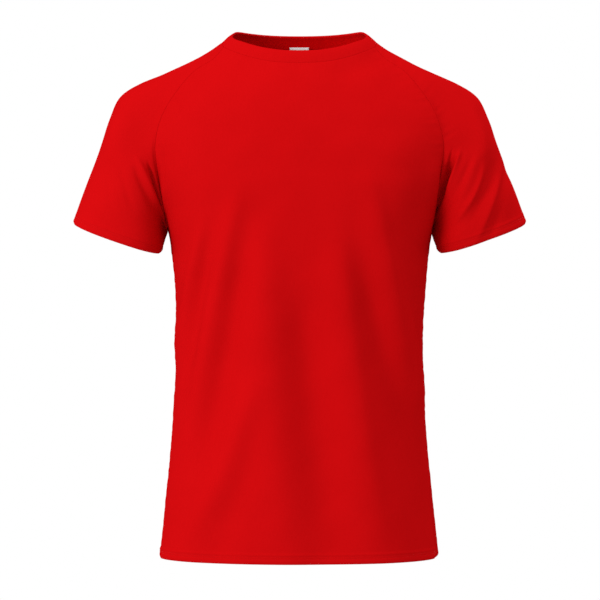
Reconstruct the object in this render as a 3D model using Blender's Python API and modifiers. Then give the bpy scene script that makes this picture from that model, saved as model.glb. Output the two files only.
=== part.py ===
"""A raglan t-shirt, worn: front, back, two raglan sleeves, neckband and neck label.

Units are metres. +Z is up, the wearer faces -Y, and +X is the wearer's left. The origin is in the
middle of the neck opening, at the height of its highest points, where the wearer's neck and
shoulders carry the shirt.

Every panel is a grid of points on one smooth form. A body panel's rows run from seam to seam
across the body, a sleeve's rows run from the front seam over the arm to the back seam, and each row
is a pair of cubic arcs that meet on the panel's middle line. The walls are then thickened inwards.
"""

import bpy
import numpy as np

COLLECTION = "raglan_tshirt"

# Cloth.
CLOTH = 0.0015  # thickness of the jersey wall
HEM = 0.0026  # thickness where the edge is folded up and stitched
HEM_DEPTH = 0.0135  # height of the folded edge at the bottom of the body
CUFF_DEPTH = 0.0120  # and at the sleeve's end
BAND = 0.0022  # thickness of the folded neckband
SEAM_GAP = 0.0004  # between two pieces at a seam
NECK_SEAM_GAP = 0.0005  # between the panels and the thicker neckband, which lies over them

# The neckband leans in and up from its seam.
BAND_SCALE = 0.870  # its top edge against its seam, across the neck
BAND_RISE_SIDE = 0.0115  # height of the band at the sides of the neck
BAND_RISE_MIDDLE = 0.0170  # and at the centre front and back
NECK_DEPTH = 0.078  # from the middle of the neck to the front of the band's seam

# The neck label, a plain woven tab.
LABEL_WIDTH = 0.0260
LABEL_HEIGHT = 0.0230
LABEL_THICK = 0.0009
LABEL_TOP = -0.0161
LABEL_TOP_DEPTH = 0.0708  # from the middle of the neck back to the label's front face
LABEL_FOOT_DEPTH = 0.0765

# How the grids are divided.
SEAM_COLUMN = 0.03  # share of a row that its narrow last column takes, beside the seam
BODY_COLUMNS = 10  # on each half of a body panel
SLEEVE_COLUMNS = 10  # on each half of a sleeve
RAGLAN_LEVELS = (0, 0.6, 1.2, 1.9, 2.6, 3.3, 3.9, 4.45, 5.0, 5.7, 6.5, 7.3, 8.0, 8.7, 9.4, 10.0)
SIDE_LEVELS = (10.6, 11.4, 12.2, 13.0, 13.8, 14.6, 15.4, 16.1)
CUFF_LEVELS = (10.7, 11.4)
ARC_SAMPLES = 65  # points of an arc before the columns are set out along it
LEVEL_STEP = 0.01  # a small change of level, to find a seam's direction
HEM_STEP = 0.0015  # height over which the wall thickens at the top of a folded edge

CLOTH_COLOUR = (0.60, 0.004, 0.006, 1.0)
LABEL_COLOUR = (0.88, 0.88, 0.87, 1.0)


def table(columns, *rows):
    """Named columns of numbers, from one row of numbers for each section."""
    return dict(zip(columns.split(), np.array(rows, float).T))


# The armhole seam of the +X side, from the neckband down the front to the underarm and up the back.
# Step 10 is the underarm point. The front seam is steps 0 to 10, the back seam steps 20 to 10.
ARMHOLE = table(
    "step x y z",
    (0, 0.1005, -0.022, -0.0225),
    (1, 0.1138, -0.037, -0.0386),
    (2, 0.1386, -0.047, -0.0557),
    (3, 0.1591, -0.059, -0.0798),
    (4, 0.1760, -0.067, -0.1063),
    (5, 0.1855, -0.071, -0.1312),
    (6, 0.1896, -0.070, -0.1573),
    (7, 0.1870, -0.063, -0.1855),
    (8, 0.1822, -0.048, -0.2130),
    (9, 0.1785, -0.024, -0.2380),
    (10, 0.1755, 0.004, -0.2560),
    (11, 0.1785, 0.034, -0.2410),
    (12, 0.1818, 0.058, -0.2160),
    (13, 0.1850, 0.074, -0.1880),
    (14, 0.1865, 0.081, -0.1600),
    (15, 0.1830, 0.083, -0.1340),
    (16, 0.1740, 0.080, -0.1070),
    (17, 0.1580, 0.072, -0.0790),
    (18, 0.1370, 0.060, -0.0520),
    (19, 0.1120, 0.047, -0.0285),
    (20, 0.0965, 0.032, -0.0105),
)

# The side seam of the body, from the underarm point at level 10 to the hem at level 17.
SIDE = table(
    "level x y z",
    (10, 0.1755, 0.004, -0.256),
    (11, 0.1705, 0.005, -0.292),
    (12, 0.1655, 0.005, -0.345),
    (13, 0.1646, 0.004, -0.410),
    (14, 0.1661, 0.003, -0.480),
    (15, 0.1715, 0.001, -0.560),
    (16, 0.1797, 0.000, -0.640),
    (17, 0.1862, 0.000, -0.7005),
)

ROW_BOW = 2.3  # how late a body row turns up or down, from the middle to the seam

# The middle line of each body panel, and how its rows leave the middle and reach the seam: the angle
# at the seam is from straight across (0) to straight back (90 degrees).
MIDDLE = "level y z angle middle_pull seam_pull"
FRONT = table(
    MIDDLE,
    (0, -0.0780, -0.0470, 66, 0.42, 0.30),
    (1, -0.0880, -0.0620, 46, 0.40, 0.32),
    (2, -0.0960, -0.0770, 40, 0.38, 0.33),
    (3, -0.1040, -0.0960, 34, 0.37, 0.33),
    (4, -0.1110, -0.1180, 31, 0.37, 0.34),
    (5, -0.1160, -0.1390, 30, 0.37, 0.34),
    (6, -0.1200, -0.1620, 36, 0.38, 0.34),
    (7, -0.1220, -0.1870, 48, 0.41, 0.34),
    (8, -0.1230, -0.2110, 63, 0.44, 0.35),
    (9, -0.1225, -0.2330, 78, 0.47, 0.36),
    (10, -0.1215, -0.2540, 90, 0.49, 0.36),
    (11, -0.1185, -0.2900, 90, 0.50, 0.36),
    (12, -0.1140, -0.3440, 90, 0.50, 0.36),
    (13, -0.1110, -0.4100, 90, 0.50, 0.36),
    (14, -0.1110, -0.4800, 90, 0.50, 0.36),
    (15, -0.1130, -0.5600, 90, 0.50, 0.36),
    (16, -0.1160, -0.6400, 90, 0.50, 0.36),
    (17, -0.1180, -0.7020, 90, 0.50, 0.36),
)
BACK = table(
    MIDDLE,
    (0, 0.0760, -0.0180, 60, 0.42, 0.30),
    (1, 0.0860, -0.0370, 42, 0.38, 0.32),
    (2, 0.0940, -0.0580, 30, 0.37, 0.33),
    (3, 0.1000, -0.0820, 25, 0.36, 0.33),
    (4, 0.1055, -0.1090, 24, 0.36, 0.34),
    (5, 0.1095, -0.1350, 26, 0.36, 0.34),
    (6, 0.1120, -0.1620, 33, 0.37, 0.34),
    (7, 0.1130, -0.1880, 46, 0.40, 0.34),
    (8, 0.1130, -0.2120, 62, 0.43, 0.35),
    (9, 0.1120, -0.2340, 77, 0.47, 0.36),
    (10, 0.1100, -0.2540, 90, 0.49, 0.36),
    (11, 0.1050, -0.2900, 90, 0.50, 0.36),
    (12, 0.0980, -0.3440, 90, 0.50, 0.36),
    (13, 0.0910, -0.4100, 90, 0.50, 0.36),
    (14, 0.0900, -0.4800, 90, 0.50, 0.36),
    (15, 0.0950, -0.5600, 90, 0.50, 0.36),
    (16, 0.1030, -0.6400, 90, 0.50, 0.36),
    (17, 0.1080, -0.7010, 90, 0.50, 0.36),
)

# The sleeve's ridge, along the shoulder and the outside of the arm, the reach of each row's arcs at
# the seam, and how far the middle of each arc stands in front of and behind the ridge's plane. Past
# level 10 the sleeve is a closed tube, down to the cuff at 13.
RIDGE = table(
    "level x y z reach_front reach_back depth_front depth_back",
    (0, 0.1035, 0.004, -0.0150, 0.008, 0.010, 0.0125, 0.0220),
    (1, 0.1180, 0.004, -0.0256, 0.015, 0.017, 0.0228, 0.0330),
    (2, 0.1450, 0.004, -0.0411, 0.022, 0.024, 0.0312, 0.0428),
    (3, 0.1775, 0.004, -0.0564, 0.030, 0.032, 0.0395, 0.0520),
    (4, 0.2115, 0.003, -0.0698, 0.036, 0.038, 0.0465, 0.0590),
    (5, 0.2388, 0.002, -0.0885, 0.041, 0.043, 0.0523, 0.0635),
    (6, 0.2523, 0.001, -0.1175, 0.047, 0.048, 0.0578, 0.0670),
    (7, 0.2625, 0.000, -0.1480, 0.055, 0.055, 0.0638, 0.0710),
    (8, 0.2705, -0.001, -0.1700, 0.067, 0.065, 0.0695, 0.0745),
    (9, 0.2770, -0.002, -0.1875, 0.083, 0.080, 0.0738, 0.0768),
    (10, 0.2832, -0.002, -0.2045, 0.100, 0.096, 0.0758, 0.0770),
    (11, 0.2897, -0.003, -0.2220, 0.098, 0.095, 0.0740, 0.0745),
    (12, 0.2962, -0.003, -0.2390, 0.093, 0.091, 0.0705, 0.0705),
    (13, 0.3022, -0.004, -0.2545, 0.087, 0.087, 0.0660, 0.0660),
)

# The underarm seam of the sleeve, from the underarm point to the cuff.
UNDERARM = table(
    "level x y z",
    (10, 0.1755, 0.004, -0.2560),
    (11, 0.1768, 0.003, -0.2680),
    (12, 0.1808, 0.002, -0.2810),
    (13, 0.1852, 0.000, -0.2946),
)
ARMPIT, HEM_LEVEL, CUFF_LEVEL = 10, 17, 13
CREASE_FROM, CREASE_TO = 4.5, 9.8  # levels between which the armpit closes into a crease
CREASE_OPEN = 0.28  # how far the sleeve side of that crease opens outwards, for each unit forwards
CREASE_END = 12  # the level at which the tube below the armpit has lost it
EASE_REACH = 1.0  # levels above and below over which the sleeve is eased round the armpit
EASE_ROWS = 9  # rows whose mean is taken there
EASE_START, EASE_END = (6.5, 8.8), (12.4, 11.4)  # levels where that sets in and has gone again
EASE_COLUMNS = 0.12  # share of a row, from its seams, over which it sets in
CUFF_DIP_FRONT, CUFF_DIP_BACK = -0.0090, -0.0040  # how far the cuff's edge hangs below its ends

# The long soft folds of the body, from top to foot: ridges, and troughs where the depth is negative.
FOLD = "top_z top_x middle_z middle_x foot_z foot_x width depth"
FRONT_FOLDS = table(
    FOLD,
    (-0.22, -0.055, -0.47, -0.060, -0.66, -0.100, 0.030, 0.0060),
    (-0.26, 0.000, -0.47, 0.010, -0.68, 0.020, 0.026, -0.0070),
    (-0.24, 0.050, -0.47, 0.064, -0.68, 0.085, 0.026, 0.0060),
    (-0.24, -0.105, -0.40, -0.125, -0.52, -0.140, 0.014, 0.0040),
)
BACK_FOLDS = table(
    FOLD,
    (-0.24, -0.060, -0.45, -0.052, -0.68, -0.070, 0.030, 0.0060),
    (-0.26, 0.005, -0.45, 0.000, -0.68, 0.010, 0.028, -0.0065),
    (-0.24, 0.066, -0.45, 0.058, -0.68, 0.076, 0.030, 0.0060),
)
FOLD_START, FOLD_FULL = 0.09, -0.06  # heights from a fold's top at which it starts and is full
FOLD_FADE = 0.035  # a fold dies out this near a side seam


def spline(columns, name, at):
    """A column read between its rows, on a smooth cubic through them."""
    knots, values = next(iter(columns.values())), columns[name]
    slopes = np.gradient(values, knots)
    at = np.clip(np.asarray(at, float), knots[0], knots[-1])
    row = np.clip(np.searchsorted(knots, at, side="right") - 1, 0, len(knots) - 2)
    span = knots[row + 1] - knots[row]
    t = (at - knots[row]) / span
    start, end = values[row], values[row + 1]
    return (
        start * (1 + 2 * t) * (1 - t) ** 2
        + end * t * t * (3 - 2 * t)
        + span * t * (1 - t) * (slopes[row] * (1 - t) - slopes[row + 1] * t)
    )


def place(columns, at):
    """The point of a seam or ridge at a step or level."""
    return np.stack([spline(columns, axis, at) for axis in "xyz"], axis=-1)


def smoothstep(low, high, value):
    t = np.clip((value - low) / (high - low), 0, 1)
    return t * t * (3 - 2 * t)


def unit(vectors):
    return vectors / np.linalg.norm(vectors, axis=-1, keepdims=True)


def arc(start, pull_start, pull_end, end):
    """Points of a cubic arc from start to end."""
    t = np.linspace(0, 1, ARC_SAMPLES)[:, None]
    return (
        start * (1 - t) ** 3
        + 3 * pull_start * t * (1 - t) ** 2
        + 3 * pull_end * t * t * (1 - t)
        + end * t**3
    )


def spread(points, shares):
    """The points of a line at these shares of its length."""
    steps = np.linalg.norm(np.diff(points, axis=0), axis=1)
    along = np.concatenate([[0], np.cumsum(steps)])
    return np.stack([np.interp(shares * along[-1], along, axis) for axis in points.T], axis=-1)


def seam_point(level, side):
    """Where a body panel's row ends: on the armhole seam, or below the armpit on the side seam."""
    if level >= ARMPIT:
        return place(SIDE, level)
    return place(ARMHOLE, level if side == "front" else 2 * ARMPIT - level)


def row_slope(level, side):
    """How a body row leaves at the seam, for a step of one outwards and back together."""
    columns = FRONT if side == "front" else BACK
    back = 1 if side == "front" else -1
    end = seam_point(level, side)
    angle = np.radians(spline(columns, "angle", level))
    rise = ROW_BOW * (end[2] - spline(columns, "z", level)) / end[0]
    return unit(np.array([np.cos(angle), back * np.sin(angle), rise * np.cos(angle)]))


def half_row(level, side, shares):
    """A body row from the middle of the panel to the +X seam."""
    columns = FRONT if side == "front" else BACK
    end = seam_point(level, side)
    middle_y, middle_z = spline(columns, "y", level), spline(columns, "z", level)
    start = np.array([0, middle_y])
    chord = np.hypot(end[0], end[1] - middle_y)
    leave = unit(row_slope(level, side)[:2])
    flat = arc(
        start,
        start + np.array([1, 0]) * spline(columns, "middle_pull", level) * chord,
        end[:2] - leave * spline(columns, "seam_pull", level) * chord,
        end[:2],
    )
    height = middle_z + (end[2] - middle_z) * (flat[:, 0] / end[0]) ** ROW_BOW
    return spread(np.column_stack([flat, height]), shares)


def fold(points, folds):
    """How far the cloth stands out at these points, from the long folds."""
    x, z = points[..., 0], points[..., 2]
    out = np.zeros(x.shape)
    for top_z, top_x, middle_z, middle_x, foot_z, foot_x, width, depth in zip(*folds.values()):
        line = table("z x", (foot_z, foot_x), (middle_z, middle_x), (top_z, top_x))
        across = (x - spline(line, "x", z)) / width
        down = smoothstep(top_z + FOLD_START, top_z + FOLD_FULL, z)
        out += depth * down * np.exp(-0.5 * across**2)
    return out


def hem_levels(seam, last, depth):
    """The levels of a folded edge: just above its top, its top and its bottom."""
    height = np.linalg.norm(place(seam, last) - place(seam, last - 1))
    return last - (depth + HEM_STEP) / height, last - depth / height, last


def column_shares(columns):
    """Where a half row's columns stand along it, with a narrow one beside the seam at 1."""
    return np.append(np.linspace(0, 1 - SEAM_COLUMN, columns), 1)


def body_grid(side):
    """The points of a body panel, rows from the neck to the hem, from the -X seam to the +X seam."""
    shares = column_shares(BODY_COLUMNS)
    back = -1 if side == "front" else 1
    rows = []
    for level in (*RAGLAN_LEVELS, *SIDE_LEVELS, *hem_levels(SIDE, HEM_LEVEL, HEM_DEPTH)):
        half = half_row(level, side, shares)
        rows.append(np.vstack([half[:0:-1] * (-1, 1, 1), half]))
    grid = np.array(rows)
    from_seam = grid[:, -1:, 0] - np.abs(grid[..., 0])
    folds = FRONT_FOLDS if side == "front" else BACK_FOLDS
    grid[..., 1] += back * fold(grid, folds) * smoothstep(0, FOLD_FADE, from_seam)
    return grid


def sleeve_ends(level):
    """The two ends of a sleeve row and the ways that it leaves them."""
    opening = CREASE_OPEN * smoothstep(CREASE_END, ARMPIT, level)
    if level >= ARMPIT:
        end = place(UNDERARM, level)
        return [(end, unit(np.array([opening, forward, 0]))) for forward in (-1.0, 1.0)]
    ends = []
    ridge = place(RIDGE, level)
    crease = smoothstep(CREASE_FROM, CREASE_TO, level)
    for side, forward in (("front", -1.0), ("back", 1.0)):
        end = seam_point(level, side)
        along = seam_point(level + LEVEL_STEP, side) - seam_point(max(level - LEVEL_STEP, 0), side)
        across = row_slope(level, side)
        normal = unit(np.cross(along, across))
        smooth = ridge - end
        smooth = unit(smooth - normal * (smooth @ normal))
        open_crease = np.array([opening, forward, 0])
        ends.append((end, unit(smooth * (1 - crease) + open_crease * crease)))
    return ends


def plain_sleeve_row(level, shares):
    """A row of the +X sleeve, from the front seam over the arm to the back seam."""
    ridge = place(RIDGE, level)
    dip = smoothstep(ARMPIT, CUFF_LEVEL, level)
    halves = []
    for (end, leave), side, forward, low in zip(
        sleeve_ends(level), ("front", "back"), (-1, 1), (CUFF_DIP_FRONT, CUFF_DIP_BACK)
    ):
        first_pull = leave * spline(RIDGE, "reach_" + side, level)
        depth = forward * spline(RIDGE, "depth_" + side, level)
        # The middle of an arc is an eighth of its ends and three eighths of its two pulled points.
        last_pull = (depth - (end[1] + ridge[1]) / 2) / 0.375 - first_pull[1]
        drop = np.array([0, 0, low * dip])
        halves.append(
            arc(end, end + first_pull + drop, ridge + np.array([0, last_pull, 0]) + drop, ridge)
        )
    return np.vstack([spread(halves[0], shares), spread(halves[1], shares)[-2::-1]])


def sleeve_row(level, shares):
    """The same row, eased where the rows below the armpit take over from those above it."""
    row = plain_sleeve_row(level, shares)
    levels = np.clip(level + EASE_REACH * np.linspace(-1, 1, EASE_ROWS), 0, CUFF_LEVEL)
    nearby = np.mean([plain_sleeve_row(near, shares) for near in levels], axis=0)
    from_seam = np.minimum(np.arange(len(row)), np.arange(len(row))[::-1]) / (len(row) - 1)
    ease = smoothstep(*EASE_START, level) * smoothstep(*EASE_END, level)
    return row + (nearby - row) * (ease * smoothstep(0, EASE_COLUMNS, from_seam))[:, None]


def sleeve_grid():
    """The points of the +X sleeve, rows from the neck to the cuff, from front to back."""
    shares = 1 - column_shares(SLEEVE_COLUMNS)[::-1]
    levels = (*RAGLAN_LEVELS, *CUFF_LEVELS, *hem_levels(RIDGE, CUFF_LEVEL, CUFF_DEPTH))
    grid = np.array([sleeve_row(level, shares) for level in levels])
    grid[..., 0] += SEAM_GAP / 2
    return grid


def move_edge_in(grid, axis, end, gap):
    """Moves a grid's edge towards the row beside it, so that a gap is left at the seam."""
    lines = np.moveaxis(grid, axis, 0)
    edge, inner = (0, 1) if end == "first" else (-1, -2)
    lines[edge] += unit(lines[inner] - lines[edge]) * gap


def neck_ring(front, back, sleeve):
    """The neckband's seam, once round, from the centre front towards +X."""
    middle = BODY_COLUMNS
    other = sleeve * (-1, 1, 1)
    return np.vstack(
        [
            front[0, middle:-1],
            sleeve[0, :-1],
            back[0, ::-1][:-1],
            other[0, ::-1][:-1],
            front[0, : middle + 1],
        ]
    )


def band_grid(ring):
    """The neckband's rows, from its seam to its top edge."""
    side_to_middle = np.clip(np.abs(ring[:, 1]) / NECK_DEPTH, 0, 1) ** 2
    rise = BAND_RISE_SIDE + (BAND_RISE_MIDDLE - BAND_RISE_SIDE) * side_to_middle
    top = ring * (BAND_SCALE, BAND_SCALE, 1)
    top[:, 2] += rise
    return np.array([ring, (ring + top) / 2, top])


def label_grid():
    """A flat tab that hangs inside the back of the neck, faces to the front."""
    across = np.linspace(-LABEL_WIDTH / 2, LABEL_WIDTH / 2, 3)
    down = np.linspace(0, 1, 4)
    rows = []
    for share in down:
        y = LABEL_TOP_DEPTH + (LABEL_FOOT_DEPTH - LABEL_TOP_DEPTH) * share
        z = LABEL_TOP - LABEL_HEIGHT * share
        rows.append([(x, y, z) for x in across])
    return np.array(rows)


def sheet(name, grid, material, thick, closed_from=None, hem_rows=0):
    """An object from a grid of points, thickened away from its outer face.

    From the row closed_from down, the last column is joined to the first.
    """
    rows, columns = grid.shape[:2]
    closed_from = rows if closed_from is None else closed_from
    corner = np.arange(rows * columns).reshape(rows, columns)
    corner[closed_from:, -1] = corner[closed_from:, 0]
    used, corner = np.unique(corner, return_inverse=True)
    corner = corner.reshape(rows, columns)
    faces = np.stack(
        [corner[:-1, :-1], corner[:-1, 1:], corner[1:, 1:], corner[1:, :-1]], axis=-1
    ).reshape(-1, 4)
    mesh = bpy.data.meshes.new(name)
    mesh.from_pydata(grid.reshape(-1, 3)[used].tolist(), [], faces.tolist())
    mesh.materials.append(material)
    made = bpy.data.objects.new(name, mesh)
    bpy.data.collections[COLLECTION].objects.link(made)
    wall = made.modifiers.new("wall", "SOLIDIFY")
    wall.thickness = HEM if hem_rows else thick
    wall.offset = -1
    if hem_rows:
        group = made.vertex_groups.new(name="wall")
        group.add(range(len(used)), thick / HEM, "REPLACE")
        group.add(np.unique(corner[-hem_rows:]).tolist(), 1, "REPLACE")
        wall.vertex_group = "wall"
    mesh.shade_smooth()
    return made


def finish(name, colour, roughness):
    material = bpy.data.materials.new(name)
    material.use_nodes = True
    shader = material.node_tree.nodes["Principled BSDF"]
    shader.inputs["Base Color"].default_value = colour
    shader.inputs["Roughness"].default_value = roughness
    shader.inputs["Metallic"].default_value = 0
    material.diffuse_color = colour
    return material


def main():
    for old in list(bpy.data.objects):
        bpy.data.objects.remove(old)
    bpy.context.scene.collection.children.link(bpy.data.collections.new(COLLECTION))
    jersey = finish("jersey", CLOTH_COLOUR, 0.75)
    woven = finish("label", LABEL_COLOUR, 0.7)

    front, back, sleeve = body_grid("front"), body_grid("back"), sleeve_grid()
    ring = neck_ring(front, back, sleeve)
    band = band_grid(ring)

    for panel in (front, back):
        for end in ("first", "last"):
            move_edge_in(panel, 1, end, SEAM_GAP / 2)
    for panel in (front, back, sleeve):
        move_edge_in(panel, 0, "first", NECK_SEAM_GAP)
    sheet("front", front[:, ::-1], jersey, CLOTH, hem_rows=2)
    sheet("back", back, jersey, CLOTH, hem_rows=2)
    sheet("neckband", band, jersey, BAND, closed_from=0)
    for name, grid in (("sleeve_left", sleeve[:, ::-1]), ("sleeve_right", sleeve * (-1, 1, 1))):
        sheet(name, grid, jersey, CLOTH, closed_from=len(RAGLAN_LEVELS) - 1, hem_rows=2)
    sheet("neck_label", label_grid(), woven, LABEL_THICK)


main()
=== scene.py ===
import bpy
import numpy as np
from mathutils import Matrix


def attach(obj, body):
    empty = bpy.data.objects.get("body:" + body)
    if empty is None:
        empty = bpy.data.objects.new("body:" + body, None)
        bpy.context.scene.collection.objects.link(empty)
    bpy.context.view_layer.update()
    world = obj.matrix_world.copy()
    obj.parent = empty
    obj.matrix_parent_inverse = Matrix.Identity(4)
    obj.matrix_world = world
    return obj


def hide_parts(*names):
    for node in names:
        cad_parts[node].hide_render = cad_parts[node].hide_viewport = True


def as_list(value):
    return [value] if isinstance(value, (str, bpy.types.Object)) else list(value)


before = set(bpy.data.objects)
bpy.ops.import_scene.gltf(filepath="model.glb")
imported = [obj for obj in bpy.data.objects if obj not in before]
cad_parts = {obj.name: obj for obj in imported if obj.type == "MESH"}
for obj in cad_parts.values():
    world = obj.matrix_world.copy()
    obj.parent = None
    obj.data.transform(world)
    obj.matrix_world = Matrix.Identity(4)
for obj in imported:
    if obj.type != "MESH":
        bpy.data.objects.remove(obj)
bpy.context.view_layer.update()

# Lengths are metres. +X is the wearer's left, the wearer faces -Y, and the neck is at the origin.


def table(columns, *rows):
    return dict(zip(columns.split(), np.array(rows, float).T))


# The cut of the shirt, on its wearer: seams and middle lines from the neck down, a level a row.

armhole = table(
    "step x y z",
    (0, 0.1005, -0.022, -0.0225),
    (1, 0.1138, -0.037, -0.0386),
    (2, 0.1386, -0.047, -0.0557),
    (3, 0.1591, -0.059, -0.0798),
    (4, 0.1760, -0.067, -0.1063),
    (5, 0.1855, -0.071, -0.1312),
    (6, 0.1896, -0.070, -0.1573),
    (7, 0.1870, -0.063, -0.1855),
    (8, 0.1822, -0.048, -0.2130),
    (9, 0.1785, -0.024, -0.2380),
    (10, 0.1755, 0.004, -0.2560),  # the underarm point, with the back seam after it
    (11, 0.1785, 0.034, -0.2410),
    (12, 0.1818, 0.058, -0.2160),
    (13, 0.1850, 0.074, -0.1880),
    (14, 0.1865, 0.081, -0.1600),
    (15, 0.1830, 0.083, -0.1340),
    (16, 0.1740, 0.080, -0.1070),
    (17, 0.1580, 0.072, -0.0790),
    (18, 0.1370, 0.060, -0.0520),
    (19, 0.1120, 0.047, -0.0285),
    (20, 0.0965, 0.032, -0.0105),
)

sideSeam = table(
    "level x y z",
    (10, 0.1755, 0.004, -0.256),
    (11, 0.1705, 0.005, -0.292),
    (12, 0.1655, 0.005, -0.345),
    (13, 0.1646, 0.004, -0.410),
    (14, 0.1661, 0.003, -0.480),
    (15, 0.1715, 0.001, -0.560),
    (16, 0.1797, 0.000, -0.640),
    (17, 0.1862, 0.000, -0.7005),
)

middleColumns = "level y z angle middlePull seamPull"
frontMiddle = table(
    middleColumns,
    (0, -0.0780, -0.0470, 66, 0.42, 0.30),
    (1, -0.0880, -0.0620, 46, 0.40, 0.32),
    (2, -0.0960, -0.0770, 40, 0.38, 0.33),
    (3, -0.1040, -0.0960, 34, 0.37, 0.33),
    (4, -0.1110, -0.1180, 31, 0.37, 0.34),
    (5, -0.1160, -0.1390, 30, 0.37, 0.34),
    (6, -0.1200, -0.1620, 36, 0.38, 0.34),
    (7, -0.1220, -0.1870, 48, 0.41, 0.34),
    (8, -0.1230, -0.2110, 63, 0.44, 0.40),
    (9, -0.1225, -0.2330, 78, 0.47, 0.42),
    (10, -0.1215, -0.2540, 90, 0.49, 0.43),
    (11, -0.1185, -0.2900, 90, 0.50, 0.42),
    (12, -0.1140, -0.3440, 90, 0.50, 0.38),
    (13, -0.1110, -0.4100, 90, 0.50, 0.36),
    (14, -0.1110, -0.4800, 90, 0.50, 0.36),
    (15, -0.1130, -0.5600, 90, 0.50, 0.36),
    (16, -0.1160, -0.6400, 90, 0.50, 0.36),
    (17, -0.1180, -0.7020, 90, 0.50, 0.36),
)
backMiddle = table(
    middleColumns,
    (0, 0.0760, -0.0180, 60, 0.42, 0.30),
    (1, 0.0860, -0.0370, 42, 0.38, 0.32),
    (2, 0.0940, -0.0580, 30, 0.37, 0.33),
    (3, 0.1000, -0.0820, 25, 0.36, 0.33),
    (4, 0.1055, -0.1090, 24, 0.36, 0.34),
    (5, 0.1095, -0.1350, 26, 0.36, 0.34),
    (6, 0.1120, -0.1620, 33, 0.37, 0.34),
    (7, 0.1130, -0.1880, 46, 0.40, 0.34),
    (8, 0.1130, -0.2120, 62, 0.43, 0.35),
    (9, 0.1120, -0.2340, 77, 0.47, 0.36),
    (10, 0.1100, -0.2540, 90, 0.49, 0.36),
    (11, 0.1050, -0.2900, 90, 0.50, 0.36),
    (12, 0.0980, -0.3440, 90, 0.50, 0.36),
    (13, 0.0910, -0.4100, 90, 0.50, 0.36),
    (14, 0.0900, -0.4800, 90, 0.50, 0.36),
    (15, 0.0950, -0.5600, 90, 0.50, 0.36),
    (16, 0.1030, -0.6400, 90, 0.50, 0.36),
    (17, 0.1080, -0.7010, 90, 0.50, 0.36),
)

sleeveRidge = table(
    "level x y z reachFront reachBack depthFront depthBack",
    (0, 0.1035, 0.004, -0.0150, 0.008, 0.010, 0.0125, 0.0220),
    (1, 0.1180, 0.004, -0.0256, 0.015, 0.017, 0.0228, 0.0330),
    (2, 0.1450, 0.004, -0.0411, 0.022, 0.024, 0.0312, 0.0428),
    (3, 0.1775, 0.004, -0.0564, 0.030, 0.032, 0.0395, 0.0520),
    (4, 0.2115, 0.003, -0.0698, 0.036, 0.038, 0.0465, 0.0590),
    (5, 0.2388, 0.002, -0.0885, 0.041, 0.043, 0.0523, 0.0635),
    (6, 0.2523, 0.001, -0.1175, 0.047, 0.048, 0.0578, 0.0670),
    (7, 0.2625, 0.000, -0.1480, 0.055, 0.055, 0.0638, 0.0710),
    (8, 0.2705, -0.001, -0.1700, 0.074, 0.065, 0.0680, 0.0745),
    (9, 0.2770, -0.002, -0.1875, 0.094, 0.080, 0.0705, 0.0768),
    (10, 0.2832, -0.002, -0.2045, 0.115, 0.096, 0.0715, 0.0770),
    (11, 0.2897, -0.003, -0.2220, 0.114, 0.095, 0.0705, 0.0745),
    (12, 0.2962, -0.003, -0.2390, 0.107, 0.091, 0.0685, 0.0705),
    (13, 0.3022, -0.004, -0.2545, 0.098, 0.087, 0.0660, 0.0660),
)

underarmSeam = table(
    "level x y z",
    (10, 0.1755, 0.004, -0.2560),
    (11, 0.1768, 0.003, -0.2680),
    (12, 0.1808, 0.002, -0.2810),
    (13, 0.1852, 0.000, -0.2946),
)

cut = {
    "armpitLevel": 10,
    "hemLevel": 17,
    "cuffLevel": 13,
    "rowBow": 2.3,  # how late a body row turns up or down, from the middle to the seam
    "creaseLevels": (4.5, 9.8),  # between them the armpit closes
    "creaseOpen": 0.28,
    "creaseEnd": 12,
    "sleeveEase": {"reach": 1.0, "rows": 9, "start": (6.5, 8.8), "end": (12.4, 11.4), "columns": 0.12},
    "bodyEase": {"reach": 1.0, "rows": 9, "start": (7.0, 9.0), "end": (13.0, 11.0), "columns": 0.06},
    "cuffDip": {"front": -0.0090, "back": -0.0040},
    "middleWeight": 0.375,  # share of each pull that the middle of a cubic arc takes
    "backBlend": (-0.012, 0.012),  # where a sleeve's front creases give way to its back ones
}


def readColumn(columns, name, at):
    # a smooth cubic through the rows of the table
    knots, values = next(iter(columns.values())), columns[name]
    slopes = np.gradient(values, knots)
    at = np.clip(np.asarray(at, float), knots[0], knots[-1])
    row = np.clip(np.searchsorted(knots, at, side="right") - 1, 0, len(knots) - 2)
    span = knots[row + 1] - knots[row]
    t = (at - knots[row]) / span
    return (
        values[row] * (1 + 2 * t) * (1 - t) ** 2
        + values[row + 1] * t * t * (3 - 2 * t)
        + span * t * (1 - t) * (slopes[row] * (1 - t) - slopes[row + 1] * t)
    )


def placeOn(columns, at):
    return np.stack([readColumn(columns, axis, at) for axis in "xyz"], axis=-1)


def smoothStep(low, high, value):
    t = np.clip((value - low) / (high - low), 0, 1)
    return t * t * (3 - 2 * t)


def unit(vectors):
    return vectors / np.maximum(np.linalg.norm(vectors, axis=-1, keepdims=True), 1e-12)


def cubicArc(start, startPull, endPull, end, samples=129):
    t = np.linspace(0, 1, samples)[:, None]
    return (
        start * (1 - t) ** 3
        + 3 * startPull * t * (1 - t) ** 2
        + 3 * endPull * t * t * (1 - t)
        + end * t**3
    )


def lengthAlong(points):
    steps = np.linalg.norm(np.diff(points, axis=0), axis=-1)
    return np.concatenate([np.zeros((1,) + steps.shape[1:]), np.cumsum(steps, axis=0)])


def spreadAlong(points, shares):
    along = lengthAlong(points)
    return np.stack([np.interp(shares * along[-1], along, axis) for axis in points.T], axis=-1)


def seamPoint(level, side):
    if level >= cut["armpitLevel"]:
        return placeOn(sideSeam, level)
    return placeOn(armhole, level if side == "front" else 2 * cut["armpitLevel"] - level)


def middleOf(side):
    return frontMiddle if side == "front" else backMiddle


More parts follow.
